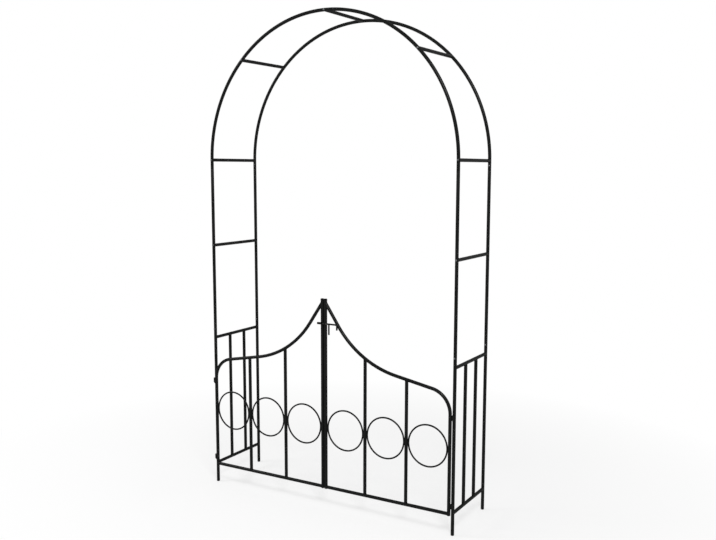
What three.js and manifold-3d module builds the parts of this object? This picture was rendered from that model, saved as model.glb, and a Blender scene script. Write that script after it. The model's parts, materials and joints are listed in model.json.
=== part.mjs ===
// Garden arch of steel tube with a two-leaf gate, in millimetres, standing at height 0.
// X runs along the width, Y along the depth with the gate on the minus side, Z upwards.
import * as THREE from "three";
import { mergeVertices } from "three/addons/utils/BufferGeometryUtils.js";
import Module from "manifold-3d";

// Overall sizes of the arch
const archWidth = 1380;
const archHeight = 2380;
const postSpacing = 350;

// Tube and rod stock
const tubeRadius = 8;
const tubeWall = 0.8;
const tubeSides = 12;
const rodSides = 8;

// Clearances: between pieces that touch, and how far a cutter runs past its work
const seatGap = 0.3;
const overrun = 5;

// Heights of the frame's rails, rungs and joints
const bottomRailHeight = 105;
const topRailHeight = 777;
const screwAboveRail = 44;
const lowerRungHeight = 1257;
const panelBars = 2;
const archRungShare = 0.25;

// Foot and sleeved joints of the posts
const footPlug = 12;
const footRounding = 3.5;
const spigotLength = 46;
const screwToRim = 24;
const archSteps = 8;

// Gate leaves
const leafForward = 14.5;
const hingeStileInset = 13.5;
const leafGap = 2;
const shoulderHeight = 566;
const shoulderRadius = 110;
const shoulderSlope = THREE.MathUtils.degToRad(10.5);
const shoulderSteps = 8;
const sweepStart = 390;
const sweepRadius = 480;
const sweepSlope = THREE.MathUtils.degToRad(56);
const sweepSteps = 12;
const stileRise = 9.5;
const leafBars = 2;
const ringHeight = 405;
const ringRodRadius = 4;
const ringSteps = 28;

// Caps in the tops of the free stiles
const capRadius = 8.7;
const capHeight = 10;
const capRounding = 4;
const capPlug = 15;
const roundingSteps = 4;

// Hinges: a bent pin on the post in a knuckle on the leaf
const pinRadius = 3.5;
const pinBendRadius = 4.5;
const pinBendSteps = 4;
const pinProud = 2;
const knuckleHeight = 22;
const knuckleUndersides = { upper: 542, lower: 131 };

// Sliding bolt, drawn back so that the leaves are free, and its sleeves on the free stiles
const boltRadius = 4;
const boltBelowTop = 109;
const boltTip = 2;
const boltLength = 79;
const boltThrow = 16;
const boltBendRadius = 8;
const boltBendSteps = 5;
const boltTail = 26;
const boltClearance = 0.5;
const handleFromTip = 34.5;
const handleLength = 52;
const sleeveWall = 1;
const sleeveInset = 2.5;
const keeperLength = 25.5;

// Screws that lock the posts' sleeved joints
const screwHeadRadius = 4.5;
const screwHeadHeight = 2.8;
const screwRimShare = 1 / 3;
const screwShankRadius = 2.3;
const screwShankLength = 12;

// Sizes that follow from the ones above
const archRadius = archWidth / 2 - tubeRadius;
const springHeight = archHeight - tubeRadius - archRadius;
const boreRadius = tubeRadius - tubeWall;
const spigotRadius = boreRadius - seatGap;
const spigotBore = spigotRadius - tubeWall;
const postScrewHeight = topRailHeight + screwAboveRail;
const jointRim = postScrewHeight + screwToRim;
const archFoot = springHeight - spigotLength - seatGap;
const postPlanes = { front: -postSpacing / 2, rear: postSpacing / 2 };
const leafPlane = postPlanes.front - leafForward;
const hingeStileX = archRadius - hingeStileInset;
const knuckleRadius = hingeStileInset - tubeRadius - seatGap;
const freeStileX = leafGap / 2 + tubeRadius;
const leafFoot = bottomRailHeight - tubeRadius;
const barSpacing = (hingeStileX - freeStileX) / (leafBars + 1);
const shoulderEnd = {
  x: hingeStileX - shoulderRadius * (1 - Math.sin(shoulderSlope)),
  z: shoulderHeight + shoulderRadius * Math.cos(shoulderSlope),
};
const sweepFoot = shoulderEnd.z + (shoulderEnd.x - sweepStart) * Math.tan(shoulderSlope);
const sweepEnd = {
  x: sweepStart - sweepRadius * (Math.sin(sweepSlope) - Math.sin(shoulderSlope)),
  z: sweepFoot + sweepRadius * (Math.cos(shoulderSlope) - Math.cos(sweepSlope)),
};
const stileJoint = sweepEnd.z + (sweepEnd.x - freeStileX) * Math.tan(sweepSlope);
const freeStileTop = stileJoint + stileRise;
const sleeveRadius = boltRadius + boltClearance + sleeveWall;
const boltPlane = leafPlane - tubeRadius - seatGap - sleeveRadius;
const boltHeight = freeStileTop - boltBelowTop;
const guideLength = boltTip + handleFromTip - boltRadius - boltThrow - boltClearance - sleeveInset;
const frontReach = boltPlane - sleeveRadius;
const rearReach = postPlanes.rear + tubeRadius;

// Directions
const right = new THREE.Vector3(1, 0, 0);
const back = new THREE.Vector3(0, 1, 0);
const up = new THREE.Vector3(0, 0, 1);
const left = right.clone().negate();
const front = back.clone().negate();
const down = up.clone().negate();
const quarterTurn = Math.PI / 2;

const wasm = await Module();
wasm.setup();

// A closed geometry as a solid with its shared corners merged.
function solidOf(geometry) {
  const bare = geometry.clone();
  bare.deleteAttribute("normal");
  bare.deleteAttribute("uv");
  const merged = mergeVertices(bare);
  return new wasm.Manifold(
    new wasm.Mesh({
      numProp: 3,
      vertProperties: merged.attributes.position.array,
      triVerts: new Uint32Array(merged.index.array),
    }),
  );
}

// The solid's surface as a geometry again.
function geometryOf(solid) {
  const { numProp, vertProperties, triVerts } = solid.getMesh();
  const buffer = new THREE.InterleavedBuffer(vertProperties, numProp);
  const geometry = new THREE.BufferGeometry();
  geometry.setAttribute("position", new THREE.InterleavedBufferAttribute(buffer, 3, 0));
  geometry.setIndex(new THREE.BufferAttribute(triVerts, 1));
  const flat = geometry.toNonIndexed();
  flat.computeVertexNormals();
  return flat;
}

// A regular outline whose flats lie at the radius and face along both axes.
function outline(radius, sides) {
  const corner = radius / Math.cos(Math.PI / sides);
  return Array.from({ length: sides }, (_, i) => {
    const angle = ((i + 0.5) / sides) * 2 * Math.PI;
    return new THREE.Vector2(corner * Math.cos(angle), corner * Math.sin(angle));
  });
}

// The path of a bender's work: straight lengths and bends, one after the other.
class BentPath extends THREE.Curve {
  constructor(start, heading, side) {
    super();
    this.stations = [{ at: start.clone(), along: heading.clone() }];
    this.side = side.clone();
  }
  get end() {
    return this.stations[this.stations.length - 1];
  }
  straight(length) {
    const { at, along } = this.end;
    this.stations.push({ at: at.clone().addScaledVector(along, length), along: along.clone() });
    return this;
  }
  // Turns towards the side, or away from it where the angle is negative.
  bend(radius, angle, steps) {
    const { at, along } = this.end;
    const turn = Math.sign(angle);
    const inwards = this.side.clone().multiplyScalar(turn);
    for (let i = 1; i <= steps; i++) {
      const a = (Math.abs(angle) * i) / steps;
      const ahead = radius * Math.sin(a);
      const aside = radius * (1 - Math.cos(a));
      this.stations.push({
        at: at.clone().addScaledVector(along, ahead).addScaledVector(inwards, aside),
        along: along.clone().multiplyScalar(Math.cos(a)).addScaledVector(inwards, Math.sin(a)),
      });
    }
    this.side.multiplyScalar(Math.cos(angle)).addScaledVector(along, -Math.sin(angle));
    return this;
  }
  // A new path that goes on from this one's end.
  onward() {
    return new BentPath(this.end.at, this.end.along, this.side);
  }
  station(u) {
    return this.stations[Math.round(u * (this.stations.length - 1))];
  }
  getPointAt(u) {
    return this.station(u).at.clone();
  }
  getTangentAt(u) {
    return this.station(u).along.clone();
  }
}

const straightPath = (start, heading, length) =>
  new BentPath(start, heading, heading).straight(length);

// A tube or rod swept along a path; a bore of 0 leaves it solid.
function sweep(path, radius, bore = 0, sides = tubeSides) {
  const section = new THREE.Shape(outline(radius, sides));
  if (bore) section.holes.push(new THREE.Path(outline(bore, sides)));
  return solidOf(
    new THREE.ExtrudeGeometry(section, {
      steps: path.stations.length - 1,
      extrudePath: path,
      bevelEnabled: false,
    }),
  );
}

// A tube with the room that its neighbours leave for it.
const tubeAlong = (path) => ({
  body: sweep(path, tubeRadius, boreRadius),
  room: sweep(path, tubeRadius + seatGap),
});

const fitted = (tube, ...neighbours) =>
  geometryOf(neighbours.reduce((body, other) => body.subtract(other.room), tube.body));

// A piece turned about the Z axis from [radius, height] points, upwards on its outside.
function turned(profile, sides = tubeSides) {
  const spread = 1 / Math.cos(Math.PI / sides);
  const points = profile.map(([radius, height]) => new THREE.Vector2(radius * spread, height));
  return new THREE.LatheGeometry(points, sides, Math.PI / sides).rotateX(quarterTurn);
}

// Points of a quarter-round edge or dome, from its outside up or down to its inner edge.
function rounding(radius, height, acrossBy, upBy) {
  return Array.from({ length: roundingSteps + 1 }, (_, i) => {
    const a = (i / roundingSteps) * quarterTurn;
    return [radius - acrossBy * (1 - Math.cos(a)), height + upBy * Math.sin(a)];
  });
}

function finish(colour, roughness, metalness) {
  return new THREE.MeshStandardMaterial({ color: colour, roughness, metalness });
}

const coat = () => finish(0x141413, 0.42, 0.3);
const plastic = () => finish(0x101010, 0.6, 0);
const blackZinc = () => finish(0x5c5e5f, 0.4, 0.9);

function piece(parent, name, geometry, material, at = new THREE.Vector3()) {
  const mesh = new THREE.Mesh(geometry, material);
  mesh.name = name;
  mesh.position.copy(at);
  parent.add(mesh);
  return mesh;
}

// The room that a joint's screw needs in the tubes, at the given height on their front.
function screwHole(height) {
  const path = straightPath(new THREE.Vector3(0, 0, height), front, tubeRadius + overrun);
  return sweep(path, screwShankRadius + seatGap, 0, rodSides);
}

// Lower post with its closed foot; the bore takes the upper post's spigot.
function lowerPost() {
  const body = turned([
    [0, 0],
    ...rounding(tubeRadius, footRounding, footRounding, -footRounding).reverse(),
    [tubeRadius, jointRim],
    [boreRadius, jointRim],
    [boreRadius, footPlug],
    [0, footPlug],
  ]);
  return geometryOf(solidOf(body).subtract(screwHole(postScrewHeight)));
}

// Upper post from shoulder to shoulder, with a reduced spigot at each end.
function upperPost(length) {
  const body = turned([
    [spigotBore, -spigotLength],
    [spigotRadius, -spigotLength],
    [spigotRadius, 0],
    [tubeRadius, 0],
    [tubeRadius, length],
    [spigotRadius, length],
    [spigotRadius, length + spigotLength],
    [spigotBore, length + spigotLength],
    [spigotBore, length - tubeWall],
    [boreRadius, length - tubeWall],
    [boreRadius, tubeWall],
    [spigotBore, tubeWall],
    [spigotBore, -spigotLength],
  ]);
  return geometryOf(solidOf(body).subtract(screwHole(-screwToRim - seatGap)));
}

function screw() {
  const rim = screwHeadHeight * screwRimShare;
  return turned(
    [
      [0, -screwShankLength],
      [screwShankRadius, -screwShankLength],
      [screwShankRadius, 0],
      [screwHeadRadius, 0],
      ...rounding(screwHeadRadius, rim, screwHeadRadius, screwHeadHeight - rim),
    ],
    rodSides,
  );
}

// Path of one arch tube: its straight foot on the upper post, then the arc up to an angle.
function archPath(y, topAngle) {
  const foot = new THREE.Vector3(archRadius, y, archFoot);
  return new BentPath(foot, up, left)
    .straight(springHeight - archFoot)
    .bend(archRadius, quarterTurn / 2, archSteps)
    .bend(archRadius, topAngle - quarterTurn / 2, archSteps);
}

const crownLap = spigotLength / archRadius;

// The tube that runs past the crown and is the socket of the crown's joint.
const socketArch = (y) => tubeAlong(archPath(y, quarterTurn).bend(archRadius, crownLap, 1));

// The tube that stops short of the crown and carries the joint's spigot.
function spigotArch(y) {
  const neck = tubeWall / archRadius;
  const path = archPath(y, quarterTurn - crownLap - seatGap / archRadius - neck);
  const neckPath = path.onward().bend(archRadius, neck, 1);
  const spigotPath = path.onward().bend(archRadius, neck, 1).bend(archRadius, crownLap, 1);
  const tube = tubeAlong(path.bend(archRadius, neck, 1));
  const collar = sweep(neckPath, tubeRadius - tubeWall / 2, spigotBore);
  const spigot = sweep(spigotPath, spigotRadius, spigotBore);
  return { body: tube.body.add(collar).add(spigot), room: tube.room };
}

// A tube between the front and rear tubes, fitted to them at both ends.
function crossTube(x, z, frontTube, rearTube) {
  const start = new THREE.Vector3(x, postPlanes.front, z);
  return fitted(tubeAlong(straightPath(start, back, postSpacing)), frontTube, rearTube);
}

const uprightAt = (x, y) =>
  tubeAlong(straightPath(new THREE.Vector3(x, y, 0), up, springHeight));

// One side of the arch, drawn at plus X: two posts, their panel, rungs and arch tubes.
function archSide(side, archTube) {
  const group = new THREE.Group();
  const shoulder = jointRim + seatGap;
  const uprights = {};
  const arches = {};
  for (const [row, y] of Object.entries(postPlanes)) {
    const at = new THREE.Vector3(archRadius, y, 0);
    uprights[row] = uprightAt(archRadius, y);
    arches[row] = archTube(y);
    piece(group, `${side}_${row}_lower_post`, lowerPost(), coat(), at);
    const above = at.clone().setZ(shoulder);
    piece(group, `${side}_${row}_upper_post`, upperPost(archFoot - seatGap - shoulder), coat(), above);
    piece(group, `${side}_${row}_arch_tube`, geometryOf(arches[row].body), coat());
    const head = new THREE.Vector3(archRadius, y - tubeRadius - seatGap, postScrewHeight);
    const fastener = piece(group, `${side}_${row}_post_screw`, screw(), blackZinc(), head);
    fastener.rotation.x = quarterTurn;
  }
  const rung = (name, x, z, ends) =>
    piece(group, `${side}_${name}`, crossTube(x, z, ends.front, ends.rear), coat());
  rung("panel_bottom_rail", archRadius, bottomRailHeight, uprights);
  rung("panel_top_rail", archRadius, topRailHeight, uprights);
  rung("lower_rung", archRadius, lowerRungHeight, uprights);
  rung("spring_rung", archRadius, springHeight, arches);
  const angle = archRungShare * Math.PI;
  const rise = springHeight + archRadius * Math.sin(angle);
  rung("arch_rung", archRadius * Math.cos(angle), rise, arches);
  panelBarsOf(group, side);
  return { group, arches };
}

// Upright bars of a side panel, evenly spaced between its posts.
function panelBarsOf(group, side) {
  const rails = [bottomRailHeight, topRailHeight].map((z) => {
    const start = new THREE.Vector3(archRadius, postPlanes.front, z);
    return tubeAlong(straightPath(start, back, postSpacing));
  });
  for (let i = 1; i <= panelBars; i++) {
    const y = postPlanes.front + (postSpacing * i) / (panelBars + 1);
    const start = new THREE.Vector3(archRadius, y, bottomRailHeight);
    const bar = tubeAlong(straightPath(start, up, topRailHeight - bottomRailHeight));
    piece(group, `${side}_panel_bar_${i}`, fitted(bar, ...rails), coat());
  }
}

// Height of the leaf's top tube over a place along its width.
function topTubeHeight(x) {
  if (x >= sweepStart) return shoulderEnd.z + (shoulderEnd.x - x) * Math.tan(shoulderSlope);
  const slope = Math.asin(Math.sin(shoulderSlope) + (sweepStart - x) / sweepRadius);
  return sweepFoot + sweepRadius * (Math.cos(shoulderSlope) - Math.cos(slope));
}

// Hinge stile and top of a leaf in one bent tube, ending on the free stile.
function leafFramePath() {
  const path = new BentPath(new THREE.Vector3(hingeStileX, leafPlane, leafFoot), up, left)
    .straight(shoulderHeight - leafFoot)
    .bend(shoulderRadius, quarterTurn - shoulderSlope, shoulderSteps)
    .straight((shoulderEnd.x - sweepStart) / Math.cos(shoulderSlope))
    .bend(sweepRadius, shoulderSlope - sweepSlope, sweepSteps);
  return path.straight((sweepEnd.x - freeStileX) / Math.cos(sweepSlope));
}

// Ring between two uprights of a leaf.
function leafRing() {
  const radius = barSpacing / 2 - tubeRadius - seatGap - ringRodRadius;
  return new THREE.TorusGeometry(radius, ringRodRadius, rodSides, ringSteps).rotateX(quarterTurn);
}

// Knuckle that stands beside the hinge stile and takes the pin.
function knuckle(underside) {
  const start = new THREE.Vector3(archRadius, leafPlane, underside);
  const path = straightPath(start, up, knuckleHeight);
  return geometryOf(sweep(path, knuckleRadius, pinRadius + seatGap));
}

function stileCap() {
  return turned([
    [0, -capPlug],
    [spigotRadius, -capPlug],
    [spigotRadius, seatGap],
    [capRadius, seatGap],
    ...rounding(capRadius, capHeight - capRounding, capRadius, capRounding),
  ]);
}

// One gate leaf, drawn at plus X.
function gateLeaf(side) {
  const group = new THREE.Group();
  const frame = tubeAlong(leafFramePath());
  const foot = new THREE.Vector3(freeStileX, leafPlane, leafFoot);
  const freeStile = tubeAlong(straightPath(foot, up, freeStileTop - leafFoot));
  const railStart = new THREE.Vector3(freeStileX, leafPlane, bottomRailHeight);
  const rail = tubeAlong(straightPath(railStart, right, hingeStileX - freeStileX));
  piece(group, `${side}_leaf_frame`, fitted(frame, freeStile), coat());
  piece(group, `${side}_free_stile`, geometryOf(freeStile.body), coat());
  piece(group, `${side}_bottom_rail`, fitted(rail, frame, freeStile), coat());
  const capAt = new THREE.Vector3(freeStileX, leafPlane, freeStileTop);
  piece(group, `${side}_stile_cap`, stileCap(), plastic(), capAt);
  for (let i = 1; i <= leafBars; i++) {
    const x = freeStileX + barSpacing * i;
    const start = new THREE.Vector3(x, leafPlane, bottomRailHeight);
    const bar = tubeAlong(straightPath(start, up, topTubeHeight(x) - bottomRailHeight));
    piece(group, `${side}_leaf_bar_${i}`, fitted(bar, rail, frame), coat());
  }
  for (let i = 1; i <= leafBars + 1; i++) {
    const at = new THREE.Vector3(freeStileX + barSpacing * (i - 0.5), leafPlane, ringHeight);
    piece(group, `${side}_ring_${i}`, leafRing(), coat(), at);
  }
  for (const [place, underside] of Object.entries(knuckleUndersides))
    piece(group, `${side}_${place}_knuckle`, knuckle(underside), coat());
  return group;
}

// Hinge pin: a rod fixed to the front of the post and bent upwards into the knuckle.
function hingePin(underside) {
  const start = new THREE.Vector3(archRadius, postPlanes.front, underside - seatGap - pinBendRadius);
  const path = new BentPath(start, front, up)
    .straight(leafForward - pinBendRadius)
    .bend(pinBendRadius, quarterTurn, pinBendSteps)
    .straight(seatGap + knuckleHeight + pinProud);
  return geometryOf(sweep(path, pinRadius).subtract(uprightAt(archRadius, postPlanes.front).room));
}

// Short tube for the bolt, fixed to the front of a free stile.
function boltSleeve(length) {
  const path = straightPath(new THREE.Vector3(sleeveInset, boltPlane, boltHeight), right, length);
  return geometryOf(sweep(path, sleeveRadius, boltRadius + boltClearance, rodSides));
}

// Sliding bolt with its tail bent down and its handle, tip at the origin.
function slidingBolt() {
  const path = new BentPath(new THREE.Vector3(), right, down)
    .straight(boltLength - boltBendRadius)
    .bend(boltBendRadius, quarterTurn, boltBendSteps)
    .straight(boltTail - boltBendRadius);
  const handle = straightPath(new THREE.Vector3(handleFromTip, 0, 0), down, handleLength);
  const rod = sweep(path, boltRadius, 0, rodSides);
  return geometryOf(rod.add(sweep(handle, boltRadius, 0, rodSides)));
}

const arch = new THREE.Group();
arch.position.y = -(frontReach + rearReach) / 2;

const rightSide = archSide("right", spigotArch);
const leftSide = archSide("left", socketArch);
arch.add(rightSide.group, leftSide.group);
leftSide.group.scale.x = -1;
const { front: frontArch, rear: rearArch } = leftSide.arches;
piece(arch, "crown_rung", crossTube(0, springHeight + archRadius, frontArch, rearArch), coat());

for (const side of ["right", "left"]) {
  const group = gateLeaf(side);
  for (const [place, underside] of Object.entries(knuckleUndersides))
    piece(group, `${side}_${place}_hinge_pin`, hingePin(underside), coat());
  if (side === "right") piece(group, "bolt_guide", boltSleeve(guideLength), coat());
  else piece(group, "bolt_keeper", boltSleeve(keeperLength), coat());
  group.scale.x = side === "right" ? 1 : -1;
  arch.add(group);
}
piece(arch, "bolt", slidingBolt(), coat(), new THREE.Vector3(boltTip, boltPlane, boltHeight));

export default arch;
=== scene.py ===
# %% [markdown]
# # A garden arch with a gate
# The arch is bent and straight steel tube of one size, coated black, with a low gate of two
# leaves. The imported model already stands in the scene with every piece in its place, but its
# tubes have few flat sides. This lesson draws each piece again, round and with its joints, in
# the same place, and gives each finish its own material.

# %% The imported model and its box
import json
from math import asin, cos, pi, radians, sin, sqrt, tan

import bmesh
import bpy
from mathutils import Matrix, Vector, noise


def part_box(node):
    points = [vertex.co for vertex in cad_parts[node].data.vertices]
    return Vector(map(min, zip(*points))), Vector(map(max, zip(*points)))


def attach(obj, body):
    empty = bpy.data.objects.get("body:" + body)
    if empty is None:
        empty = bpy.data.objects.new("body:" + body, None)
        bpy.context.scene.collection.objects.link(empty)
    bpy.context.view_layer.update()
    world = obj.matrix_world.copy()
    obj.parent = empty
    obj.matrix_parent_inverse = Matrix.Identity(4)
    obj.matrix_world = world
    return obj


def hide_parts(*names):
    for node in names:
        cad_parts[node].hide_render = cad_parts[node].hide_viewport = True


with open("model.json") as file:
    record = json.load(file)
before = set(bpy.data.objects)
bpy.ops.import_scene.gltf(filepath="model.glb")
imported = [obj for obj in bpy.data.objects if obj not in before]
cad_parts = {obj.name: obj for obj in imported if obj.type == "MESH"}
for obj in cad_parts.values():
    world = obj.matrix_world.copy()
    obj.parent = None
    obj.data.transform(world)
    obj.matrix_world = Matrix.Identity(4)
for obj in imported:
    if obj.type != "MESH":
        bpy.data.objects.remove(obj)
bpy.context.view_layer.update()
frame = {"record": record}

# %% [markdown]
# ## Sizes that the pieces share
# All lengths are metres, and round stock is given by its radius. One stock of tube is used for
# the whole arch, with a thin wall that shows only at open ends, and a small gap is left where
# one piece goes into another. The places of the pieces could be typed in, but two lists of
# places soon drift apart.

# %% Tube stock, directions and places
TUBE = 0.008
WALL = 0.0008
GAP = 0.0003
X, Y, Z = Vector((1, 0, 0)), Vector((0, 1, 0)), Vector((0, 0, 1))
SIGN = {"left": -1, "right": 1}


def middle(node):
    low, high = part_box(node)
    return (low + high) / 2


POST_X = middle("right_front_lower_post").x
ROW_Y = {row: middle(f"right_{row}_lower_post").y for row in ("front", "rear")}
LEAF_Y = middle("right_free_stile").y
STILE_X = middle("right_free_stile").x
print("posts at", round(POST_X, 4), "rows at", {k: round(v, 4) for k, v in ROW_Y.items()})
print("leaf plane at", round(LEAF_Y, 4), "free stile at", round(STILE_X, 4))

# %% [markdown]
# ## The camera
# The photograph was taken from the right at eye height, looking slightly down. A camera is a
# place, a direction and a lens, and all three could be found by eye in the viewport. Here they
# were worked out from where posts, rails and rings lie in the photograph, because then every
# piece can be held against it. The direction is given as a turn and a tilt, and the small shift
# says that the picture's middle isn't quite the lens's middle.

# %% Camera
PHOTO_WIDTH, PHOTO_HEIGHT = 716, 540
LENS_IN_PIXELS, LENS_MIDDLE_X, LENS_MIDDLE_Y = 861.231, 378.602, 278.436
CAMERA_PLACE = (2.22564, -3.57537, 1.6603)
TURN, TILT, LEAN = radians(-29.548), radians(-7.394), radians(0.268)
SENSOR_MM = 36
FARTHEST_SEEN = 100

ahead = Vector((sin(TURN) * cos(TILT), cos(TURN) * cos(TILT), sin(TILT)))
level = Vector((cos(TURN), -sin(TURN), 0))
upright = level.cross(ahead)
side_on = level * cos(LEAN) + upright * sin(LEAN)
top_on = upright * cos(LEAN) - level * sin(LEAN)
camera_data = bpy.data.cameras.new("camera")
camera_data.sensor_width = SENSOR_MM
camera_data.lens = SENSOR_MM * LENS_IN_PIXELS / PHOTO_WIDTH
camera_data.shift_x = (PHOTO_WIDTH / 2 - LENS_MIDDLE_X) / PHOTO_WIDTH
camera_data.shift_y = (LENS_MIDDLE_Y - PHOTO_HEIGHT / 2) / PHOTO_WIDTH
camera_data.clip_end = FARTHEST_SEEN
camera = bpy.data.objects.new("camera", camera_data)
axes = Matrix((side_on, top_on, -ahead)).transposed()
camera.matrix_world = Matrix.Translation(CAMERA_PLACE) @ axes.to_4x4()
bpy.context.scene.collection.objects.link(camera)
bpy.context.scene.camera = camera
bpy.context.scene.view_settings.view_transform = "Standard"
print("lens", round(camera_data.lens, 2), "mm")

# %% [markdown]
# ## Helpers for materials
# In Blender a material is a tree of nodes: textures and sums that feed a shader. Such a tree
# could be drawn by hand in the shader editor. Built by a script it comes out the same each
# time, and a few helpers keep that short. The textures are laid in the object's own space, so a
# pattern stays on its piece when a leaf swings.

# %% Adding nodes by name
def dial(node, values):
    """Sets inputs of a node by name."""
    for name, value in values.items():
        node.inputs[name].default_value = value


def node_adder(tree):
    """A function that adds a node to the tree, with its inputs and options given by name."""
    def add(kind, **values):
        node = tree.nodes.new(kind)
        for key, value in values.items():
            if key in node.inputs:
                node.inputs[key].default_value = value
            else:
                setattr(node, key, value)
        return node

    return add


# %% A finish that is being built
COATED = ("Normal", "Coat Normal")


class Finish:
    """A material with its shader, and short ways to add to it."""

    def __init__(self, name):
        self.material = bpy.data.materials.new(name)
        self.material.use_nodes = True
        tree = self.material.node_tree
        self.shader, self.result = tree.nodes["Principled BSDF"], tree.nodes["Material Output"]
        self.add, self.join = node_adder(tree), tree.links.new
        self.space = self.add("ShaderNodeTexCoord").outputs["Object"]

    def texture(self, kind, **values):
        node = self.add(f"ShaderNodeTex{kind}", **values)
        self.join(self.space, node.inputs["Vector"])
        return node

    def remap(self, source, start=0.0, end=1.0, low=0.0, high=1.0):
        """The source's range from start to end, laid over the range from low to high."""
        node = self.add("ShaderNodeMapRange", **{"From Min": start, "From Max": end,
                                                 "To Min": low, "To Max": high})
        self.join(source, node.inputs["Value"])
        return node.outputs["Result"]

    def times(self, first, second):
        """The product of an output with another output or with a number."""
        node = self.add("ShaderNodeMath", operation="MULTIPLY")
        self.join(first, node.inputs[0])
        if isinstance(second, float):
            node.inputs[1].default_value = second
        else:
            self.join(second, node.inputs[1])
        return node.outputs["Value"]

    def tint(self, source, dark, light, start=0.0, end=1.0):
        """Base colour from dark to light while the source goes from start to end."""
        ramp = self.add("ShaderNodeValToRGB")
        for stop, place, colour in zip(ramp.color_ramp.elements, (start, end), (dark, light)):
            stop.position, stop.color = place, (*colour, 1)
        self.join(source, ramp.inputs["Fac"])
        self.join(ramp.outputs["Color"], self.shader.inputs["Base Color"])

    def relief(self, height, strength, distance, layers=("Normal",)):
        bump = self.add("ShaderNodeBump", Strength=strength, Distance=distance)
        self.join(height, bump.inputs["Height"])
        for layer in layers:
            self.join(bump.outputs["Normal"], self.shader.inputs[layer])


def looked_at(add, join):
    """1 for what the camera sees, also in shiny surfaces, and 0 for the light that it gives."""
    path = add("ShaderNodeLightPath")
    either = add("ShaderNodeMath", operation="MAXIMUM")
    join(path.outputs["Is Camera Ray"], either.inputs[0])
    join(path.outputs["Is Glossy Ray"], either.inputs[1])
    return either.outputs["Value"]


# %% [markdown]
# ## Floor and surroundings
# The photograph shows the arch cut out on white. White surroundings alone would give that, but
# the arch would seem to float, so a pale floor keeps a faint shadow to stand on. What the
# camera sees of the floor is mostly plain white, and wholly so far from the arch, so that no
# edge shows where it meets the surroundings.

# %% Floor that fades to white
FLOOR_HALF, FLOOR_DROP = 9, 0.0002
FADE_START, FADE_END, WHITE_NEAR_ARCH = 1.0, 2.4, 0.6
WHITE = (1, 1, 1, 1)


def pale_floor():
    finish = Finish("pale_floor")
    dial(finish.shader, {"Base Color": (0.9, 0.9, 0.9, 1), "Roughness": 0.9,
                         "Specular IOR Level": 0.1})
    distance = finish.add("ShaderNodeVectorMath", operation="LENGTH")
    finish.join(finish.space, distance.inputs[0])
    whiteness = finish.remap(distance.outputs["Value"], FADE_START, FADE_END, WHITE_NEAR_ARCH)
    glow = finish.add("ShaderNodeEmission", Color=WHITE, Strength=1.0)
    mix = finish.add("ShaderNodeMixShader")
    finish.join(finish.times(whiteness, looked_at(finish.add, finish.join)), mix.inputs["Fac"])
    finish.join(finish.shader.outputs["BSDF"], mix.inputs[1])
    finish.join(glow.outputs["Emission"], mix.inputs[2])
    finish.join(mix.outputs["Shader"], finish.result.inputs["Surface"])
    return finish.material


floor_mesh = bpy.data.meshes.new("floor")
corners = [(FLOOR_HALF * x, FLOOR_HALF * y, -FLOOR_DROP)
           for x, y in ((-1, -1), (1, -1), (1, 1), (-1, 1))]
floor_mesh.from_pydata(corners, [], [(0, 1, 2, 3)])
floor_mesh.materials.append(pale_floor())
floor = bpy.data.objects.new("floor", floor_mesh)
bpy.context.scene.collection.objects.link(floor)
print("floor", 2 * FLOOR_HALF, "m square, white from", FADE_END, "m on")

# %% White surroundings
LIGHT_OF_SURROUNDINGS = 0.52
world = bpy.data.worlds.new("surroundings")
world.use_nodes = True
bpy.context.scene.world = world
tree = world.node_tree
add, join = node_adder(tree), tree.links.new
lighting = tree.nodes["Background"]
dial(lighting, {"Color": WHITE, "Strength": LIGHT_OF_SURROUNDINGS})
shown = add("ShaderNodeBackground", Color=WHITE, Strength=1.0)
blend = add("ShaderNodeMixShader")
join(looked_at(add, join), blend.inputs["Fac"])
join(lighting.outputs["Background"], blend.inputs[1])
join(shown.outputs["Background"], blend.inputs[2])
join(blend.outputs["Shader"], tree.nodes["World Output"].inputs["Surface"])
print("surroundings look white and light with", LIGHT_OF_SURROUNDINGS)

# %% [markdown]
# ## Lamps
# The surroundings light every side alike and leave the tubes flat. Small lamps would give them
# form but also hard shadows, so two large round lamps are used, a strong one on the camera's
# side and a weak one on the other. They show as soft highlights along the tubes.

# %% Soft lamps
LAMP_SIZE = 1.6


def soft_lamp(name, place, aim, power):
    data = bpy.data.lights.new(name, "AREA")
    data.shape, data.size, data.energy = "DISK", LAMP_SIZE, power
    lamp = bpy.data.objects.new(name, data)
    lamp.location = place
    lamp.rotation_euler = (Vector(aim) - Vector(place)).to_track_quat("-Z", "Y").to_euler()
    bpy.context.scene.collection.objects.link(lamp)


soft_lamp("key", (2.6, -3.2, 4.4), (0, 0, 0.8), 150)
soft_lamp("fill", (-3.4, -2.0, 3.2), (0, 0, 1.0), 70)

# %% [markdown]
# ## Black powder coat
# Powder is blown onto the steel and baked into a hard skin, black with half a gloss. Seen close
# it isn't flat: it has a soft orange-peel ripple, one to two millimetres across, and its gloss
# varies a little from place to place. A picture of such a coat could be wrapped round the
# tubes, but it would show seams, and noise textures have none. The gloss is the shader's coat
# layer at a low weight: it makes soft highlights along the tubes, while the rungs, which the
# camera sees at a low angle, stay dark.

# %% Powder coat material
PEEL_PER_METRE, GRAIN_PER_METRE, GRAIN_SHARE = 700.0, 3200.0, 0.25
COAT_WEIGHT = 0.18


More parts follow.
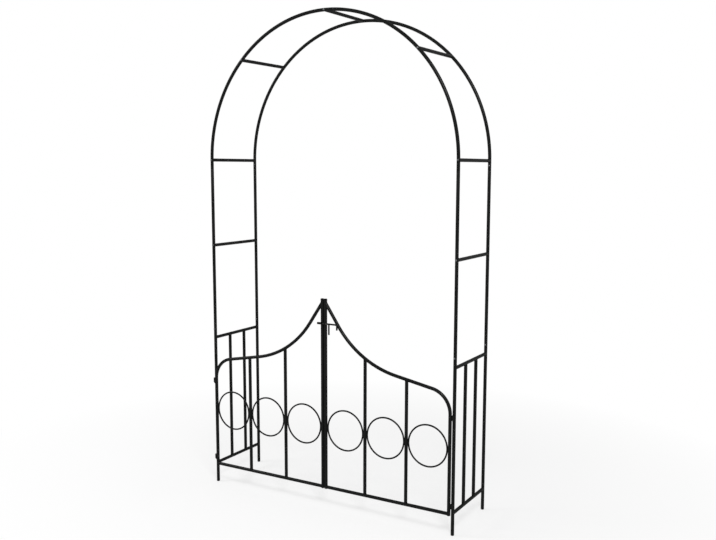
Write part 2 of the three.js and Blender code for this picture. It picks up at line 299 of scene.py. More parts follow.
def powder_coat():
    coat = Finish("black_powder_coat")
    tone = coat.texture("Noise", Scale=9.0, Detail=4.0, Roughness=0.6)
    coat.tint(tone.outputs["Fac"], (0.0026, 0.0029, 0.0027), (0.0062, 0.0068, 0.0064),
              start=0.3, end=0.72)
    patches = coat.texture("Noise", Scale=38.0, Detail=3.0, Roughness=0.55)
    gloss = coat.remap(patches.outputs["Fac"], low=0.20, high=0.34)
    coat.join(gloss, coat.shader.inputs["Roughness"])
    peel = coat.texture("Noise", Scale=PEEL_PER_METRE, Detail=2.0, Roughness=0.5)
    grain = coat.texture("Noise", Scale=GRAIN_PER_METRE, Detail=1.0, Roughness=0.5)
    heights = coat.add("ShaderNodeMath", operation="MULTIPLY_ADD")
    coat.join(grain.outputs["Fac"], heights.inputs[0])
    heights.inputs[1].default_value = GRAIN_SHARE
    coat.join(peel.outputs["Fac"], heights.inputs[2])
    coat.relief(heights.outputs["Value"], strength=0.3, distance=0.00012, layers=COATED)
    dial(coat.shader, {"Specular IOR Level": 0.0, "Coat Weight": COAT_WEIGHT,
                       "Coat Roughness": 0.24})
    return coat.material


COAT = powder_coat()
print("finish:", COAT.name)

# %% [markdown]
# ## Cap plastic and zinc
# The caps are moulded plastic, duller than the coat and finely grained. The screws are plated
# with black zinc, a dark metal that is a little cloudy. Both are so small that the coat's
# material could serve for them too, but each turns the light in its own way, and that tells the
# eye what it is made of.

# %% Cap plastic
def cap_plastic():
    plastic = Finish("black_cap_plastic")
    cloud = plastic.texture("Noise", Scale=120.0, Detail=3.0)
    plastic.tint(cloud.outputs["Fac"], (0.0042, 0.0042, 0.0043), (0.0090, 0.0090, 0.0094))
    grain = plastic.texture("Voronoi", Scale=1500.0)
    plastic.relief(grain.outputs["Distance"], strength=0.4, distance=0.00008)
    dial(plastic.shader, {"Roughness": 0.6, "Specular IOR Level": 0.04})
    return plastic.material


PLASTIC = cap_plastic()
print("finish:", PLASTIC.name)

# %% Zinc plate
def zinc_plate():
    zinc = Finish("zinc_plate")
    cloud = zinc.texture("Noise", Scale=420.0, Detail=4.0, Roughness=0.6).outputs["Fac"]
    zinc.tint(cloud, (0.085, 0.088, 0.090), (0.150, 0.155, 0.160))
    zinc.join(zinc.remap(cloud, low=0.24, high=0.42), zinc.shader.inputs["Roughness"])
    zinc.relief(cloud, strength=0.2, distance=0.00005)
    dial(zinc.shader, {"Metallic": 1.0})
    return zinc.material


ZINC = zinc_plate()
print("finish:", ZINC.name)

# %% [markdown]
# ## Coat rubbed by sliding
# The bolt slides in its sleeves, so its coat is rubbed thin along the part that moves in them,
# and bare steel starts to show there. A second material could be given to that stretch, with a
# hard edge. One material that turns from coat to steel in streaks along the rod looks worn. The
# streaks are a noise texture drawn out along the rod, and they fade at both ends.

# %% Powder coat rubbed between two places
RUB_FADE = 0.004
STREAKS_PER_METRE = (60, 900, 900)
STEEL_SHINE = 0.85
# A colour mix has its two colours at inputs 6 and 7 and its result at output 2.
MIX_FIRST, MIX_SECOND, MIX_RESULT = 6, 7, 2


def rubbed_coat(start, end):
    """Powder coat that is rubbed in streaks between two places along X."""
    coat = Finish("rubbed_powder_coat")
    parts = coat.add("ShaderNodeSeparateXYZ")
    coat.join(coat.space, parts.inputs[0])
    stretch = coat.add("ShaderNodeMapping", Scale=STREAKS_PER_METRE)
    coat.join(coat.space, stretch.inputs["Vector"])
    streaks = coat.add("ShaderNodeTexNoise", Scale=1.0, Detail=3.0, Roughness=0.6)
    coat.join(stretch.outputs["Vector"], streaks.inputs["Vector"])
    within = coat.times(coat.remap(parts.outputs["X"], start, start + RUB_FADE),
                        coat.remap(parts.outputs["X"], end, end - RUB_FADE))
    worn = coat.times(within, coat.remap(streaks.outputs["Fac"], start=0.52, end=0.66))
    colour = coat.add("ShaderNodeMix", data_type="RGBA")
    colour.inputs[MIX_FIRST].default_value = (0.0044, 0.0048, 0.0046, 1)
    colour.inputs[MIX_SECOND].default_value = (0.10, 0.097, 0.094, 1)
    coat.join(worn, colour.inputs[0])
    coat.join(colour.outputs[MIX_RESULT], coat.shader.inputs["Base Color"])
    coat.join(coat.times(worn, STEEL_SHINE), coat.shader.inputs["Metallic"])
    peel = coat.texture("Noise", Scale=PEEL_PER_METRE, Detail=2.0)
    coat.relief(peel.outputs["Fac"], strength=0.3, distance=0.0001, layers=COATED)
    dial(coat.shader, {"Roughness": 0.42, "Specular IOR Level": 0.0,
                       "Coat Weight": COAT_WEIGHT, "Coat Roughness": 0.28})
    return coat.material


# %% [markdown]
# ## Skinning a row of ribs
# Every tube, rod, cap and screw here is round about some line. Blender's own cylinders would do
# for the straight ones and bevelled curves for the bent ones, but neither has shaped ends. So
# one helper draws them all: it is given ribs along that line, each a middle, a direction and a
# radius, makes a ring of points for each rib and spans faces between neighbouring rings. A
# radius of 0 closes an end in one point. A row of ribs that runs back inside itself makes a bore.

# %% Ribs
SIDES = 32


def meeting(point, heading, tube):
    """Where a line through the point first runs onto a round tube (base, axis, radius)."""
    base, axis, radius = tube
    run = heading - heading.dot(axis) * axis
    off = (point - base) - (point - base).dot(axis) * axis
    a, b, c = run.dot(run), off.dot(run), off.dot(off) - radius * radius
    return point + heading * ((-b - sqrt(max(b * b - a * c, 0))) / a)


class Rib:
    """One ring of a round piece. If it meets a tube it lies on that; way is -1 at a first end."""

    def __init__(self, centre, along, radius, meets=None, way=1):
        self.centre, self.along, self.radius = centre, along, radius
        self.meets, self.way = meets, way

    def ring(self, across, sides=SIDES):
        points = [self.centre.copy()]
        if self.radius:
            other = self.along.cross(across).normalized()
            turns = [2 * pi * i / sides for i in range(sides)]
            points = [self.centre + self.radius * (cos(a) * across + sin(a) * other)
                      for a in turns]
        if self.meets:
            points = [meeting(p, self.along * self.way, self.meets) for p in points]
        return points


# %% Skin over rows of points
def mesh_of(points, faces, name="drawn"):
    """A mesh with its faces turned outwards."""
    work = bmesh.new()
    made = [work.verts.new(p) for p in points]
    for face in faces:
        work.faces.new([made[i] for i in face])
    bmesh.ops.recalc_face_normals(work, faces=work.faces)
    mesh = bpy.data.meshes.new(name)
    work.to_mesh(mesh)
    work.free()
    return mesh


def skin_rows(rows, closed=False):
    """A mesh over rows of points; a row of one point shuts an end, closed joins last to first."""
    points, rings, faces = [], [], []
    for row in rows:
        rings.append(range(len(points), len(points) + len(row)))
        points += row
    sides = max(len(ring) for ring in rings)
    pairs = list(zip(rings, rings[1:])) + ([(rings[-1], rings[0])] if closed else [])
    for low, high in pairs:
        for i in range(sides):
            j = (i + 1) % sides
            corners = [low[i % len(low)], low[j % len(low)],
                       high[j % len(high)], high[i % len(high)]]
            faces.append(list(dict.fromkeys(corners)))
    return mesh_of(points, faces)


def skin(ribs, across, sides=SIDES, closed=False):
    return skin_rows([rib.ring(across, sides) for rib in ribs], closed)


# %% [markdown]
# ## Putting a piece into the scene
# A drawn piece takes a finish, rides on the body that carries it and stands for the packed
# piece that it redraws. Each could be placed and shaded by hand, but then one is soon
# forgotten, so one helper does it for all. The shading is smooth round a tube and breaks at
# rims, where two faces meet at more than the angle below.

# %% Placing a drawn piece
RIM_ANGLE = radians(35)
BODY_OF = {node: body for body, nodes in frame["record"]["behaviour"]["bodies"].items()
           for node in nodes}
drawn = []


def show(name, mesh, body, finish, *nodes):
    mesh.shade_smooth()
    mesh.set_sharp_from_angle(angle=RIM_ANGLE)
    mesh.materials.append(finish)
    piece = bpy.data.objects.new(name, mesh)
    bpy.context.scene.collection.objects.link(piece)
    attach(piece, body)
    if nodes:
        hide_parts(*nodes)
    drawn.append(name)


def redraw(node, mesh, finish=COAT):
    """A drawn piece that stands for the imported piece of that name."""
    show(f"{node}_drawn", mesh, BODY_OF[node], finish, node)


print("pieces to redraw:", len(BODY_OF))

# %% [markdown]
# ## How a tube ends
# A cut tube ends in one of four ways on this arch: shut and rounded as a foot, open as a socket,
# drawn down to a spigot that goes into a socket, or shaped to sit against another tube. Bores
# and shoulders could be cut with booleans, which leave uneven faces. Here the first three ways
# are a few more ribs, set off from the tube's end as pairs of distance and radius.

# %% Tube ends
EDGE, EDGE_MIDDLE = 0.0004, 0.3
BORE = TUBE - WALL
SPIGOT = BORE - GAP


def rim(radius):
    """The softened outer edge of a cut end."""
    return [(-EDGE, radius), (-EDGE * EDGE_MIDDLE, radius - EDGE * EDGE_MIDDLE),
            (0, radius - EDGE)]


def socket_end(depth):
    return rim(TUBE) + [(0, BORE), (-depth, BORE), (-depth, 0)]


def spigot_end(length):
    return rim(TUBE) + [(0, SPIGOT), (length - EDGE, SPIGOT), (length, SPIGOT - EDGE),
                        (length, 0)]


def rounded_end(radius, rounding, steps=6):
    turns = [pi / 2 * i / steps for i in range(steps + 1)]
    edge = [(rounding * (sin(a) - 1), radius - rounding * (1 - cos(a))) for a in turns]
    return edge + [(0, 0)]


def first_end(point, along, steps):
    return [Rib(point - along * d, along, r) for d, r in reversed(steps)]


def last_end(point, along, steps):
    return [Rib(point + along * d, along, r) for d, r in steps]


print("bore", round(2 * BORE, 4), "spigot", round(2 * SPIGOT, 4), "across")

# %% [markdown]
# ## The posts
# Each post comes in two lengths so that the arch fits in a carton. The lower one stands on a
# shut, rounded foot. The upper one goes into it with a reduced end and a screw locks the two,
# so all that shows of the joint is a fine line a little above the screw. One long tube with a
# dark line on it would look the same from afar, but a real gap has its own shadow from near.

# %% Lower and upper posts
FOOT_ROUNDING = 0.0035
for side in SIGN:
    for row in ROW_Y:
        lower, upper = f"{side}_{row}_lower_post", f"{side}_{row}_upper_post"
        foot = middle(lower)
        foot.z = 0
        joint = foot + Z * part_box(lower)[1].z
        spigot = joint.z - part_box(upper)[0].z
        shoulder = joint + Z * GAP
        top = foot + Z * (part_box(upper)[1].z - spigot - GAP)
        redraw(lower, skin(first_end(foot, Z, rounded_end(TUBE, FOOT_ROUNDING))
                           + last_end(joint, Z, socket_end(spigot + GAP)), X))
        redraw(upper, skin(first_end(shoulder, Z, spigot_end(spigot))
                           + last_end(top, Z, spigot_end(spigot)), X))
print("joint at", round(joint.z, 4), "spigot", round(spigot, 4), "long, post to", round(top.z, 4))

# %% [markdown]
# ## Bending a tube
# A bender pushes tube round a former, so a bent tube is straight lengths and arcs in one flat
# plane. A curve drawn with handles would come close, but its arcs aren't true arcs. The helper
# follows a list of moves, as the bender does, and notes the middle and direction of the tube
# every few degrees. The arch, the leaf frames, the hinge pins and the bolt all come from it.

# %% Following a bender's moves
def bent(start, heading, inward, moves, step=radians(3)):
    """Stations (middle, direction) along moves: ("go", length) and ("turn", radius, angle)."""
    point, along = start.copy(), heading.copy()
    stations = [(point, along)]
    for kind, size, *more in moves:
        if kind == "go":
            point = point + along * size
            stations.append((point, along))
            continue
        angle = more[0]
        toward = inward if angle > 0 else -inward
        count = max(3, round(abs(angle) / step))
        for a in [abs(angle) * i / count for i in range(1, count + 1)]:
            stations.append((point + along * size * sin(a) + toward * size * (1 - cos(a)),
                             along * cos(a) + toward * sin(a)))
        inward = inward * cos(angle) - along * sin(angle)
        point, along = stations[-1]
    return stations


def ribs_on(stations, radius):
    return [Rib(point, along, radius) for point, along in stations]


# %% [markdown]
# ## The round top
# The top of the arch is four quarter rings, two side by side. Each sits over the end of an upper
# post. The left pair runs a little past the crown as sockets, and the right pair goes into them,
# so the joint line shows just right of the highest point. A quarter could be cut from a torus,
# but the bender's moves give it and the straight foot below it in one go.

# %% Arch tubes
CROWN_LAP = 0.046
CROWN_SOCKET, CROWN_SPIGOT = 0.012, 0.010
ARCH_STEP = radians(1.5)
low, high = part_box("left_front_arch_tube")
arch_foot, spring = low.z, high.z - TUBE - POST_X
lap = CROWN_LAP / POST_X


def arch_stations(side, row, past):
    """From the foot over the spring and along the arc, to an angle past the crown."""
    start = Vector((SIGN[side] * POST_X, ROW_Y[row], arch_foot))
    moves = [("go", spring - arch_foot), ("turn", POST_X, pi / 2 + past)]
    return bent(start, Z, -X * SIGN[side], moves, ARCH_STEP)


for row in ROW_Y:
    for side, past in (("left", lap), ("right", -lap - GAP / POST_X)):
        stations = arch_stations(side, row, past)
        end = socket_end(CROWN_SOCKET) if side == "left" else spigot_end(CROWN_SPIGOT)
        ribs = first_end(*stations[0], socket_end(spigot + GAP))
        ribs += ribs_on(stations[1:-1], TUBE) + last_end(*stations[-1], end)
        redraw(f"{side}_{row}_arch_tube", skin(ribs, Y))
print("spring height", round(spring, 4), "arch foot", round(arch_foot, 4))

# %% [markdown]
# ## Tubes that end on other tubes
# A rung's end is cut to a saddle so that it sits against the round side of the post. A boolean
# would cut it, but the faces round the cut come out uneven. Here each line along the rung's
# skin is carried on until it runs onto its neighbour, which gives the true saddle curve.
# `between` draws such a tube, with a neighbour at each end.

# %% A tube between two others
def between(start, end, near, far, across):
    along = (end - start).normalized()
    return skin([Rib(start, along, 0, near, -1), Rib(start, along, TUBE, near, -1),
                 Rib(end, along, TUBE, far), Rib(end, along, 0, far)], across)


def cross_tube(node, x, z, axis):
    """A tube from the front row to the rear row, ending on tubes that run along the axis."""
    ends = [Vector((x, ROW_Y[row], z)) for row in ("front", "rear")]
    tubes = [(end, axis, TUBE) for end in ends]
    redraw(node, between(*ends, *tubes, axis.cross(Y)))


# %% Rungs of the arch and rails of the side panels
for side, sign in SIGN.items():
    for name in ("panel_bottom_rail", "panel_top_rail", "lower_rung", "spring_rung"):
        cross_tube(f"{side}_{name}", sign * POST_X, middle(f"{side}_{name}").z, Z)
    shoulder_rung = middle(f"{side}_arch_rung")
    slope = (shoulder_rung - Vector((0, shoulder_rung.y, spring))).cross(Y).normalized()
    cross_tube(f"{side}_arch_rung", shoulder_rung.x, shoulder_rung.z, slope)
cross_tube("crown_rung", 0, middle("crown_rung").z, X)
print("rungs and rails:", sum("rung" in name or "rail" in name for name in drawn))

# %% Bars of the side panels
rail_z = {name: middle(f"right_panel_{name}_rail").z for name in ("bottom", "top")}
for side, sign in SIGN.items():
    for number in (1, 2):
        node = f"{side}_panel_bar_{number}"
        ends = [Vector((sign * POST_X, middle(node).y, z)) for z in rail_z.values()]
        redraw(node, between(*ends, *[(end, Y, TUBE) for end in ends], X))
print("rails at", {k: round(v, 4) for k, v in rail_z.items()})

# %% [markdown]
# ## Weld beads
# The panels and leaves are welded. A bead is laid in small overlapping drops, so it runs along
# the saddle curve as a thin, rippled roll, and the coat covers it. A bump in the material could
# suggest that, but a roll also fills the corner and shows against the light. Here its thickness
# swells and narrows with each drop, with a little unevenness from a fixed noise, so the beads
# are the same each time the scene is built.

# %% Laying beads
BEAD, BEAD_SIDES, BEAD_STEP = 0.0012, 8, 0.0006
DROP, SWELL = 0.0024, 0.15
UNEVEN, UNEVEN_PER_METRE = 0.25, 260
END_SHARE, END_CURVE = 0.12, 6
DRAWN_IN = 1.4


class Beads:
    """Weld beads of one body, gathered into one mesh."""

    def __init__(self):
        self.points, self.faces, self.runs = [], [], 0

    def lay(self, path, closed=True, away=None, size=BEAD):
        """Lays a bead along points, round or open; away points out of the weld."""
        centre = sum(path, Vector()) / len(path)
        first, count, run, sides = len(self.points), len(path), 0.0, BEAD_SIDES
        for i, point in enumerate(path):
            after = path[(i + 1) % count if closed else min(i + 1, count - 1)]
            before = path[i - 1 if closed or i else 0]
            ahead = (after - before).normalized()
            out = away or (point - centre)
            out = (out - out.dot(ahead) * ahead).normalized()
            aside = ahead.cross(out)
            thick = size * (1 + SWELL * cos(2 * pi * run / DROP)
                            + UNEVEN * noise.noise(point * UNEVEN_PER_METRE))
            if not closed:
                thick *= max(END_SHARE, 1 - abs(2 * i / (count - 1) - 1) ** END_CURVE)
            for a in [2 * pi * k / sides for k in range(sides)]:
                self.points.append(point + thick * (cos(a) * out + sin(a) * aside))
            run += (after - point).length
        for i in range(count if closed else count - 1):
            here, there = first + i * sides, first + (i + 1) % count * sides
            self.faces += [(here + k, here + (k + 1) % sides, there + (k + 1) % sides, there + k)
                           for k in range(sides)]
        if not closed:
            last = first + (count - 1) * sides
            self.faces += [range(first, first + sides), range(last, last + sides)]
        self.runs += 1

    def saddle(self, centre, along, tube, across, radius=TUBE, size=BEAD, clean=False):
        """A bead round a tube's end where it meets another; clean leaves one side without.

        Tubes of one size touch edge on at both sides, so there the bead is drawn in.
        """
        count = round(2 * pi * radius / BEAD_STEP)
        ring = Rib(centre, along, radius, tube).ring(across, count)
        bulge = [cos(2 * pi * i / count) for i in range(count)]
        path = [p - across * (b * abs(b) * DRAWN_IN * size) for p, b in zip(ring, bulge)]
        if clean:
            quarter, spare = round(count / 4), count // 8
            path = (path[quarter:] + path[:quarter])[spare:-spare]
        self.lay(path, closed=not clean, size=size)

    def show(self, name, body):
        print(name, "has", self.runs, "beads")
        show(name, mesh_of(self.points, self.faces, name), body, COAT)


# %% Beads of the side panels
for side, sign in SIGN.items():
    beads = Beads()
    for z in rail_z.values():
        for row, way in (("front", -1), ("rear", 1)):
            on_post = Vector((sign * POST_X, ROW_Y[row], z))
            beads.saddle(on_post, Y * way, (on_post, Z, TUBE), X)
    for number in (1, 2):
        y = middle(f"{side}_panel_bar_{number}").y
        for name, way in (("bottom", -1), ("top", 1)):
            on_rail = Vector((sign * POST_X, y, rail_z[name]))
            beads.saddle(on_rail, Z * way, (on_rail, Y, TUBE), X)
    beads.show(f"{side}_panel_welds", "arch_frame")

# %% [markdown]
# ## Screws
# Small plated screws lock the sleeved joints and hold the rungs between the arch tubes. The head
# is a low dome with a cross-shaped recess, and at the rungs' rear ends it is flat and sunk into
# the tube. The recess could be cut with a boolean. It is simpler to keep all rings on the same
# spokes and to give the innermost ones the outline of the cross. Heads are pairs of radius and
# height.

# %% A screw head with its recess
SHANK, SHANK_LENGTH = 0.0022, 0.011
CROSS_ARM, CROSS_HALF_WIDTH = 0.0021, 0.00045
RECESS, RECESS_POINT, RECESS_TAPER = 0.0013, 0.0015, 0.8
DOMED_HEAD = [(SHANK, 0), (0.0045, 0), (0.0045, 0.0007), (0.0043, 0.0013), (0.0038, 0.0019),
              (0.0031, 0.0024), (0.0025, 0.0027)]
SUNK_HEAD = [(SHANK, -0.0018), (0.0026, -0.0016), (0.0040, -0.0003), (0.0040, -0.0001),
             (0.0038, 0)]


def cross_outline(turn):
    """Distance from the middle to the edge of the cross, in the direction of turn."""
    a = turn % (pi / 2)
    a = min(a, pi / 2 - a)
    on_arm_end = tan(a) < CROSS_HALF_WIDTH / CROSS_ARM
    return CROSS_ARM / cos(a) if on_arm_end else CROSS_HALF_WIDTH / sin(a)


def screw_mesh(seat, outward, head=DOMED_HEAD):
    """A screw whose head sits at seat and faces outward, to the front or to the rear."""
    corner = asin(CROSS_HALF_WIDTH / sqrt(CROSS_ARM ** 2 + CROSS_HALF_WIDTH ** 2))
    quarter = [0, corner, *(pi * k / 16 for k in range(2, 7)), pi / 2 - corner]
    spokes = [q * pi / 2 + a for q in range(4) for a in quarter]
    aside = outward.cross(X)
    top = head[-1][1]

    def ring(sizes, height):
        centre = seat + outward * height
        return [centre + size * (cos(a) * X + sin(a) * aside) for size, a in zip(sizes, spokes)]

    rows = [[seat - outward * SHANK_LENGTH]]
    rows += [ring([radius] * len(spokes), height)
             for radius, height in [(SHANK, -SHANK_LENGTH), *head]]
    cross = [cross_outline(a) for a in spokes]
    rows += [ring(cross, top), ring([RECESS_TAPER * size for size in cross], top - RECESS)]
    return skin_rows(rows + [[seat + outward * (top - RECESS_POINT)]])


# %% Screws that lock the posts' joints
for side in SIGN:
    for row in ROW_Y:
        node = f"{side}_{row}_post_screw"
        seat = middle(node)
        seat.y = ROW_Y[row] - TUBE - GAP
        redraw(node, screw_mesh(seat, -Y), ZINC)
print("post screws at", round(seat.z, 4))

# %% Screws of the rungs and of the spring joints
SPRING_SCREW_DROP = 0.022
rungs = {f"{side}_{name}": middle(f"{side}_{name}") for side in SIGN
         for name in ("lower_rung", "spring_rung", "arch_rung")}
rungs["crown_rung"] = middle("crown_rung")
for name, at in rungs.items():
    front = Vector((at.x, ROW_Y["front"] - TUBE, at.z))
    rear = Vector((at.x, ROW_Y["rear"] + TUBE, at.z))
    show(f"{name}_front_screw", screw_mesh(front, -Y), "arch_frame", ZINC)
    show(f"{name}_rear_screw", screw_mesh(rear, Y, SUNK_HEAD), "arch_frame", ZINC)
for side, sign in SIGN.items():
    seat = Vector((sign * POST_X, ROW_Y["rear"] - TUBE, spring - SPRING_SCREW_DROP))
    show(f"{side}_rear_spring_screw", screw_mesh(seat, -Y), "arch_frame", ZINC)
print("screws:", sum("screw" in name for name in drawn))

# %% [markdown]
# ## The leaf frame
# Hinge stile and top of a leaf are one tube: up the stile, round a tight shoulder, along a
# gentle slope and then up a long sweep to the free stile, where it is cut to fit. It could be
# joined from separate lengths, but the real one has no seam at the shoulder, and moves in a row
# meet without a kink. The sweep bends the other way than the shoulder, so its angle is negative.

# %% Leaf frames
HINGE_INSET = 0.0135
HINGE_X = POST_X - HINGE_INSET
SHOULDER_Z, SHOULDER_R, SHOULDER_SLOPE = 0.566, 0.110, radians(10.5)
SWEEP_X, SWEEP_R, SWEEP_SLOPE = 0.390, 0.480, radians(56)
OPEN_DEPTH = 0.03
leaf_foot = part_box("right_free_stile")[0].z
slope_start = HINGE_X - SHOULDER_R * (1 - sin(SHOULDER_SLOPE))
sweep_end = SWEEP_X - SWEEP_R * (sin(SWEEP_SLOPE) - sin(SHOULDER_SLOPE))
LEAF_MOVES = [("go", SHOULDER_Z - leaf_foot), ("turn", SHOULDER_R, pi / 2 - SHOULDER_SLOPE),
              ("go", (slope_start - SWEEP_X) / cos(SHOULDER_SLOPE)),
              ("turn", SWEEP_R, SHOULDER_SLOPE - SWEEP_SLOPE),
              ("go", (sweep_end - STILE_X) / cos(SWEEP_SLOPE))]


def leaf_stations(sign):
    start = Vector((sign * HINGE_X, LEAF_Y, leaf_foot))
    return bent(start, Z, -X * sign, LEAF_MOVES)


for side, sign in SIGN.items():
    stations = leaf_stations(sign)
    stile = (Vector((sign * STILE_X, LEAF_Y, 0)), Z, TUBE)
    tip, heading = stations[-1]
    ribs = first_end(*stations[0], socket_end(OPEN_DEPTH)) + ribs_on(stations[1:-1], TUBE)
    ribs += [Rib(tip, heading, TUBE, stile), Rib(tip, heading, 0, stile)]
    redraw(f"{side}_leaf_frame", skin(ribs, Y))
print("top tube meets the free stile at", round(tip.z, 4))

# %% [markdown]
# ## Stile, rail and bars of a leaf
# The free stile is open at its foot and takes the cap in its top. The bottom rail fits between
# the two stiles, and the bars stand on it and end under the bent top. A bar could simply run
# into the top tube, where its end would be hidden, but a cut end meets the bead as the real one
# does. The top isn't upright or level there, so its direction is read from its own stations.

# %% Free stiles, bottom rails and bars
CAP_SOCKET = 0.02
SHORTEST = 1e-6
leaf_rail_z = middle("right_bottom_rail").z


def top_tube_at(sign, x):
    """The bent top over a place along the leaf, as (middle, direction, radius)."""
    stations = leaf_stations(sign)
    for (a, _), (b, _) in zip(stations, stations[1:]):
        if min(a.x, b.x) <= x <= max(a.x, b.x) and abs(b.x - a.x) > SHORTEST:
            return a.lerp(b, (x - a.x) / (b.x - a.x)), (b - a).normalized(), TUBE


for side, sign in SIGN.items():
    low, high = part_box(f"{side}_free_stile")
    foot, head = [Vector((sign * STILE_X, LEAF_Y, z)) for z in (low.z, high.z)]
    redraw(f"{side}_free_stile", skin(first_end(foot, Z, socket_end(OPEN_DEPTH))
                                      + last_end(head, Z, socket_end(CAP_SOCKET)), X))
    ends = [Vector((sign * x, LEAF_Y, leaf_rail_z)) for x in (STILE_X, HINGE_X)]
    redraw(f"{side}_bottom_rail", between(*ends, *[(end, Z, TUBE) for end in ends], Y))
    for number in (1, 2):
        node = f"{side}_leaf_bar_{number}"
        foot = Vector((middle(node).x, LEAF_Y, leaf_rail_z))
        over = top_tube_at(sign, foot.x)
        redraw(node, between(foot, over[0], (foot, X, TUBE), over, Y))
        print(node, "reaches", round(over[0].z, 4))

# %% [markdown]
# ## Rings of a leaf
# Each gap between two uprights holds a ring of thin rod, bent round and butted where it touches
# an upright. Blender has a ready-made torus. Here the ribs simply stand round a circle and the
# last joins the first, so that the rings are skinned, shaded and placed as all else is.

# %% Rings
RING_ROD, RING_RIBS, RING_SIDES = 0.004, 96, 16


def ring_mesh(centre, radius):
    turns = [2 * pi * i / RING_RIBS for i in range(RING_RIBS)]
    ribs = [Rib(centre + radius * (cos(a) * X + sin(a) * Z), cos(a) * Z - sin(a) * X, RING_ROD)
            for a in turns]
    return skin(ribs, Y, RING_SIDES, closed=True)


for side in SIGN:
    for number in (1, 2, 3):
        node = f"{side}_ring_{number}"
        low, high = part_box(node)
        ring_radius = (high.x - low.x) / 2 - RING_ROD
        redraw(node, ring_mesh((low + high) / 2, ring_radius))
print("ring radius", round(ring_radius, 4))

# %% [markdown]
# ## Welds of a leaf
# The rail, the bars and the top have beads all round, as on the side panels. A ring only
# touches its uprights at two points, so it is held there by short tacks, one in front and one
# behind.

# %% Beads of the leaves
TACK, TACK_STEPS, TACK_OUT, TACK_ASIDE = 0.0011, 8, 0.0002, 0.0024
for side, sign in SIGN.items():
    beads = Beads()
    for x, way in ((STILE_X, -1), (HINGE_X, 1)):
        on_stile = Vector((sign * x, LEAF_Y, leaf_rail_z))
        beads.saddle(on_stile, X * way * sign, (on_stile, Z, TUBE), Y)
    for number in (1, 2):
        on_rail = Vector((middle(f"{side}_leaf_bar_{number}").x, LEAF_Y, leaf_rail_z))
        beads.saddle(on_rail, -Z, (on_rail, X, TUBE), Y)
        over = top_tube_at(sign, on_rail.x)
        beads.saddle(over[0], Z, over, Y)
    tip, heading = leaf_stations(sign)[-1]
    beads.saddle(tip, heading, (tip, Z, TUBE), Y)
    for number in (1, 2, 3):
        low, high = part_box(f"{side}_ring_{number}")
        for x in (low.x - TACK_OUT, high.x + TACK_OUT):
            for y in (-TACK_ASIDE, TACK_ASIDE):
                touch = Vector((x, LEAF_Y + y, (low.z + high.z) / 2))
                tack = [touch + Z * (d * BEAD_STEP) for d in range(-TACK_STEPS, TACK_STEPS + 1)]
                beads.lay(tack, closed=False, away=Y * y, size=TACK)
    beads.show(f"{side}_leaf_welds", f"{side}_leaf")

# %% [markdown]
# ## Caps
# A moulded cap closes the top of each free stile. It is a little wider than the tube, has a
# small radius at its lower edge and a domed top, and its plug is hidden in the stile. A squashed
# ball would give the dome only. An outline turned round the stile's line, as on a lathe, gives
# plug, edge and dome at once. It is pairs of radius and height.

# %% Stile caps
CAP_SHAPE = [(0, -0.0145), (0.0064, -0.0145), (0.0068, -0.0140), (0.0068, 0.0003),
             (0.0083, 0.0003), (0.0087, 0.0008), (0.0087, 0.0060), (0.0085, 0.0075),
             (0.0079, 0.0086), (0.0068, 0.0093), (0.0050, 0.0097), (0.0025, 0.00995),
             (0, 0.0100)]
for side, sign in SIGN.items():
    seat = Vector((sign * STILE_X, LEAF_Y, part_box(f"{side}_free_stile")[1].z))
    ribs = [Rib(seat + Z * height, Z, radius) for radius, height in CAP_SHAPE]
    redraw(f"{side}_stile_cap", skin(ribs, X), PLASTIC)
print("caps on the stiles at", round(seat.z, 4))

# %% [markdown]
# ## Hinges
# A pin welded to the post turns up and stands in a short tube on the leaf, so the leaf hangs on
# two pins and can be lifted off. The pin's rod is bent in one small arc and its end is rounded,
# to let the leaf drop on easily. Both are small enough for plain cylinders, but the bend and
# the open rims show when the leaf swings, so they are drawn like the tubes.

# %% Pins and knuckles
PIN, PIN_BEND, KNUCKLE_BORE = 0.0035, 0.0045, 0.0038
PIN_STEP, ROD_SIDES, TIP_ROUNDING = radians(10), 24, 0.0018
SEAM_X, SEAM_Y, SEAM_SHORT, SEAM_STEPS = 0.0082, 0.0026, 0.001, 32


def sleeve(start, end, radius, bore, across):
    """A short tube with a bore right through and softened rims."""
    along = (end - start).normalized()
    ribs = first_end(start, along, rim(radius)) + last_end(end, along, rim(radius))
    return skin(ribs + [Rib(end, along, bore), Rib(start, along, bore)], across, closed=True)


def hinge_pin(start, height):
    """A rod out of the front post, bent up to stand so high above its own bend."""
    post = (start, Z, TUBE)
    moves = [("go", ROW_Y["front"] - LEAF_Y - PIN_BEND), ("turn", PIN_BEND, pi / 2),
             ("go", height)]
    stations = bent(start, -Y, Z, moves, PIN_STEP)
    ribs = [Rib(start, -Y, 0, post, -1), Rib(start, -Y, PIN, post, -1)]
    ribs += ribs_on(stations[1:-1], PIN)
    return skin(ribs + last_end(*stations[-1], rounded_end(PIN, TIP_ROUNDING)), X, ROD_SIDES)


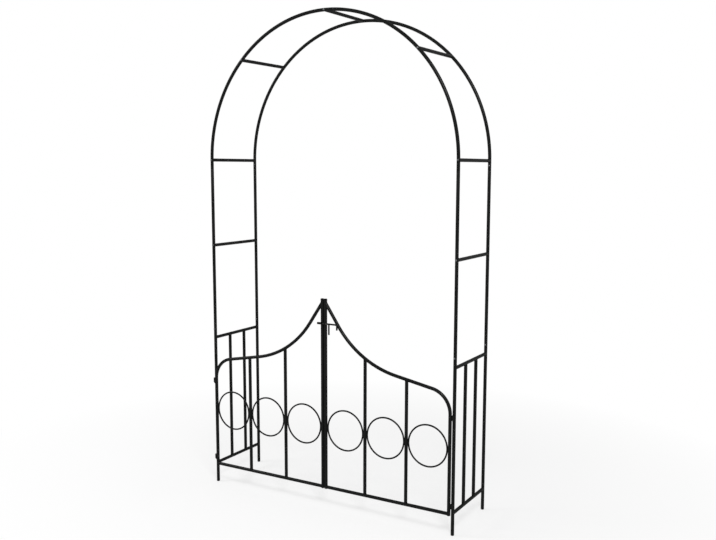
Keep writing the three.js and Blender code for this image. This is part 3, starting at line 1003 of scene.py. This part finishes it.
for side, sign in SIGN.items():
    pin_beads, knuckle_beads = Beads(), Beads()
    for place in ("upper", "lower"):
        low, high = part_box(f"{side}_{place}_knuckle")
        foot, head = [Vector((sign * POST_X, LEAF_Y, z)) for z in (low.z, high.z)]
        tube = sleeve(foot, head, (high.x - low.x) / 2, KNUCKLE_BORE, X)
        redraw(f"{side}_{place}_knuckle", tube)
        seam_length = high.z - low.z - 2 * SEAM_SHORT
        for y in (-SEAM_Y, SEAM_Y):
            seam_foot = Vector((sign * (HINGE_X + SEAM_X), LEAF_Y + y, low.z + SEAM_SHORT))
            seam = [seam_foot + Z * seam_length * i / SEAM_STEPS for i in range(SEAM_STEPS + 1)]
            knuckle_beads.lay(seam, closed=False, away=Y * y)

        pin = f"{side}_{place}_hinge_pin"
        start = Vector((sign * POST_X, ROW_Y["front"], low.z - GAP - PIN_BEND))
        redraw(pin, hinge_pin(start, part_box(pin)[1].z - low.z + GAP))
        pin_beads.saddle(start, Y, (start, Z, TUBE), X, PIN)
    pin_beads.show(f"{side}_pin_welds", "arch_frame")
    knuckle_beads.show(f"{side}_knuckle_welds", f"{side}_leaf")

# %% [markdown]
# ## The sliding bolt
# A bent rod slides through a short tube on the right leaf's stile and, pushed across, into a
# second one on the left leaf's stile. Here it is drawn back, so the leaves are free to swing.
# Its tail is bent down so that it can't slip out, and a handle of the same rod hangs from it.
# The rod could be two cylinders with a joint between them, but a bent rod has no corner, so it
# follows the bender's moves. The handle's bead stops short of the side that comes up against
# the sleeve.

# %% Bolt sleeves
BOLT, BOLT_CLEARANCE, SLEEVE_WELD = 0.004, 0.0005, 0.0036
low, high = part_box("bolt_keeper")
bolt_y, bolt_z = (low.y + high.y) / 2, (low.z + high.z) / 2
for node, side in (("bolt_guide", "right"), ("bolt_keeper", "left")):
    low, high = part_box(node)
    start, end = Vector((low.x, bolt_y, bolt_z)), Vector((high.x, bolt_y, bolt_z))
    redraw(node, sleeve(start, end, (high.z - low.z) / 2, BOLT + BOLT_CLEARANCE, Z))
    beads = Beads()
    on_stile = Vector((SIGN[side] * STILE_X, LEAF_Y, bolt_z))
    beads.saddle(on_stile, Y, (on_stile, Z, TUBE), X, SLEEVE_WELD)
    beads.show(f"{node}_weld", f"{side}_leaf")

# %% Bolt and tail
BOLT_BEND, TAIL, BOLT_STEP, CUT_ROUNDING = 0.008, 0.026, radians(6), 0.0012
RUBBED_LENGTH = 0.028
low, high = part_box("bolt")
tip = Vector((low.x, bolt_y, bolt_z))
moves = [("go", high.x - BOLT - BOLT_BEND - low.x), ("turn", BOLT_BEND, pi / 2),
         ("go", TAIL - BOLT_BEND)]
stations = bent(tip, X, -Z, moves, BOLT_STEP)
rod = first_end(*stations[0], rounded_end(BOLT, TIP_ROUNDING)) + ribs_on(stations[1:-1], BOLT)
rod += last_end(*stations[-1], rounded_end(BOLT, CUT_ROUNDING))
RUBBED = rubbed_coat(tip.x, tip.x + RUBBED_LENGTH)
redraw("bolt", skin(rod, Y, ROD_SIDES), RUBBED)
print("bolt from", round(low.x, 4), "to", round(high.x, 4), "finish:", RUBBED.name)

# %% Handle of the bolt
HANDLE_X, HANDLE_BEAD = 0.0345, 0.0009
hang = tip + X * HANDLE_X
handle = [Rib(hang, -Z, 0), Rib(hang, -Z, BOLT)]
handle += last_end(Vector((hang.x, bolt_y, low.z)), -Z, rounded_end(BOLT, CUT_ROUNDING))
show("bolt_handle", skin(handle, Y, ROD_SIDES), "bolt", COAT)
collar = Beads()
collar.saddle(hang, Z, (hang, X, BOLT), Y, BOLT, HANDLE_BEAD, clean=True)
collar.show("bolt_handle_weld", "bolt")
print("handle down to", round(low.z, 4))
